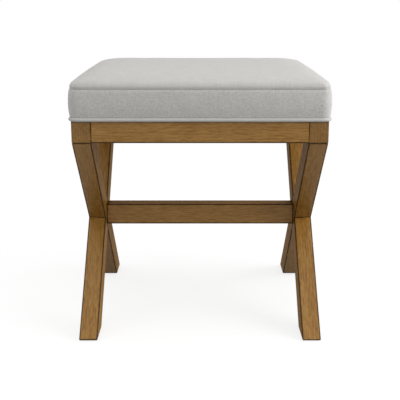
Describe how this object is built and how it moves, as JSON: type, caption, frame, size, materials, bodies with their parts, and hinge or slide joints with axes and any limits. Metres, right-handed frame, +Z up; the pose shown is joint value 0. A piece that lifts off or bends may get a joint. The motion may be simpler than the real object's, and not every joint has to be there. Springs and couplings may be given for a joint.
{
  "type": "vanity stool",
  "caption": "Square stool with crossed wooden legs at each side, a stretcher between the crossings and a piped box cushion bolted on a rail frame.",
  "frame": {"origin": "on the floor, under the middle of the stool", "axes": "+Z up, -Y to the front, +X to the right as seen from the front; the stretcher runs along X and the legs cross in planes of constant X"},
  "size_m": [0.4738, 0.4738, 0.502],
  "materials": {
    "frame_wood": "satin",
    "block_wood": "matte",
    "dowel_wood": "matte",
    "plywood": "matte",
    "glide_plastic": "satin",
    "bronzed_steel": "satin",
    "plated_steel": "satin",
    "cover_linen": "matte",
    "filler_cotton": "matte",
    "foam": "matte",
    "wadding": "matte",
    "dust_cloth": "matte"
  },
  "bodies": {
    "root": {"left_leg_front_foot": "frame_wood", "left_leg_rear_foot": "frame_wood", "right_leg_front_foot": "frame_wood", "right_leg_rear_foot": "frame_wood", "left_side_rail": "frame_wood", "right_side_rail": "frame_wood", "front_rail": "frame_wood", "rear_rail": "frame_wood", "stretcher": "frame_wood", "corner_block_front_left": "block_wood", "corner_block_front_right": "block_wood", "corner_block_rear_left": "block_wood", "corner_block_rear_right": "block_wood", "leg_top_dowels": "dowel_wood", "rail_dowels": "dowel_wood", "stretcher_dowels": "dowel_wood", "seat_board": "plywood", "foot_glide_front_left": "glide_plastic", "foot_glide_front_right": "glide_plastic", "foot_glide_rear_left": "glide_plastic", "foot_glide_rear_right": "glide_plastic", "stretcher_bolts": "bronzed_steel", "glide_pins": "plated_steel", "stretcher_barrel_nuts": "plated_steel", "corner_block_screws": "plated_steel", "seat_bolts": "plated_steel", "seat_bolt_washers": "plated_steel", "seat_tee_nuts": "plated_steel", "cover_staples": "plated_steel", "dust_cover_staples": "plated_steel", "cover_top_panel": "cover_linen", "cover_boxing_band": "cover_linen", "welt_piping": "cover_linen", "welt_filler_cord": "filler_cotton", "foam_pad": "foam", "wadding": "wadding", "dust_cover": "dust_cloth"}
  },
  "joints": []
}
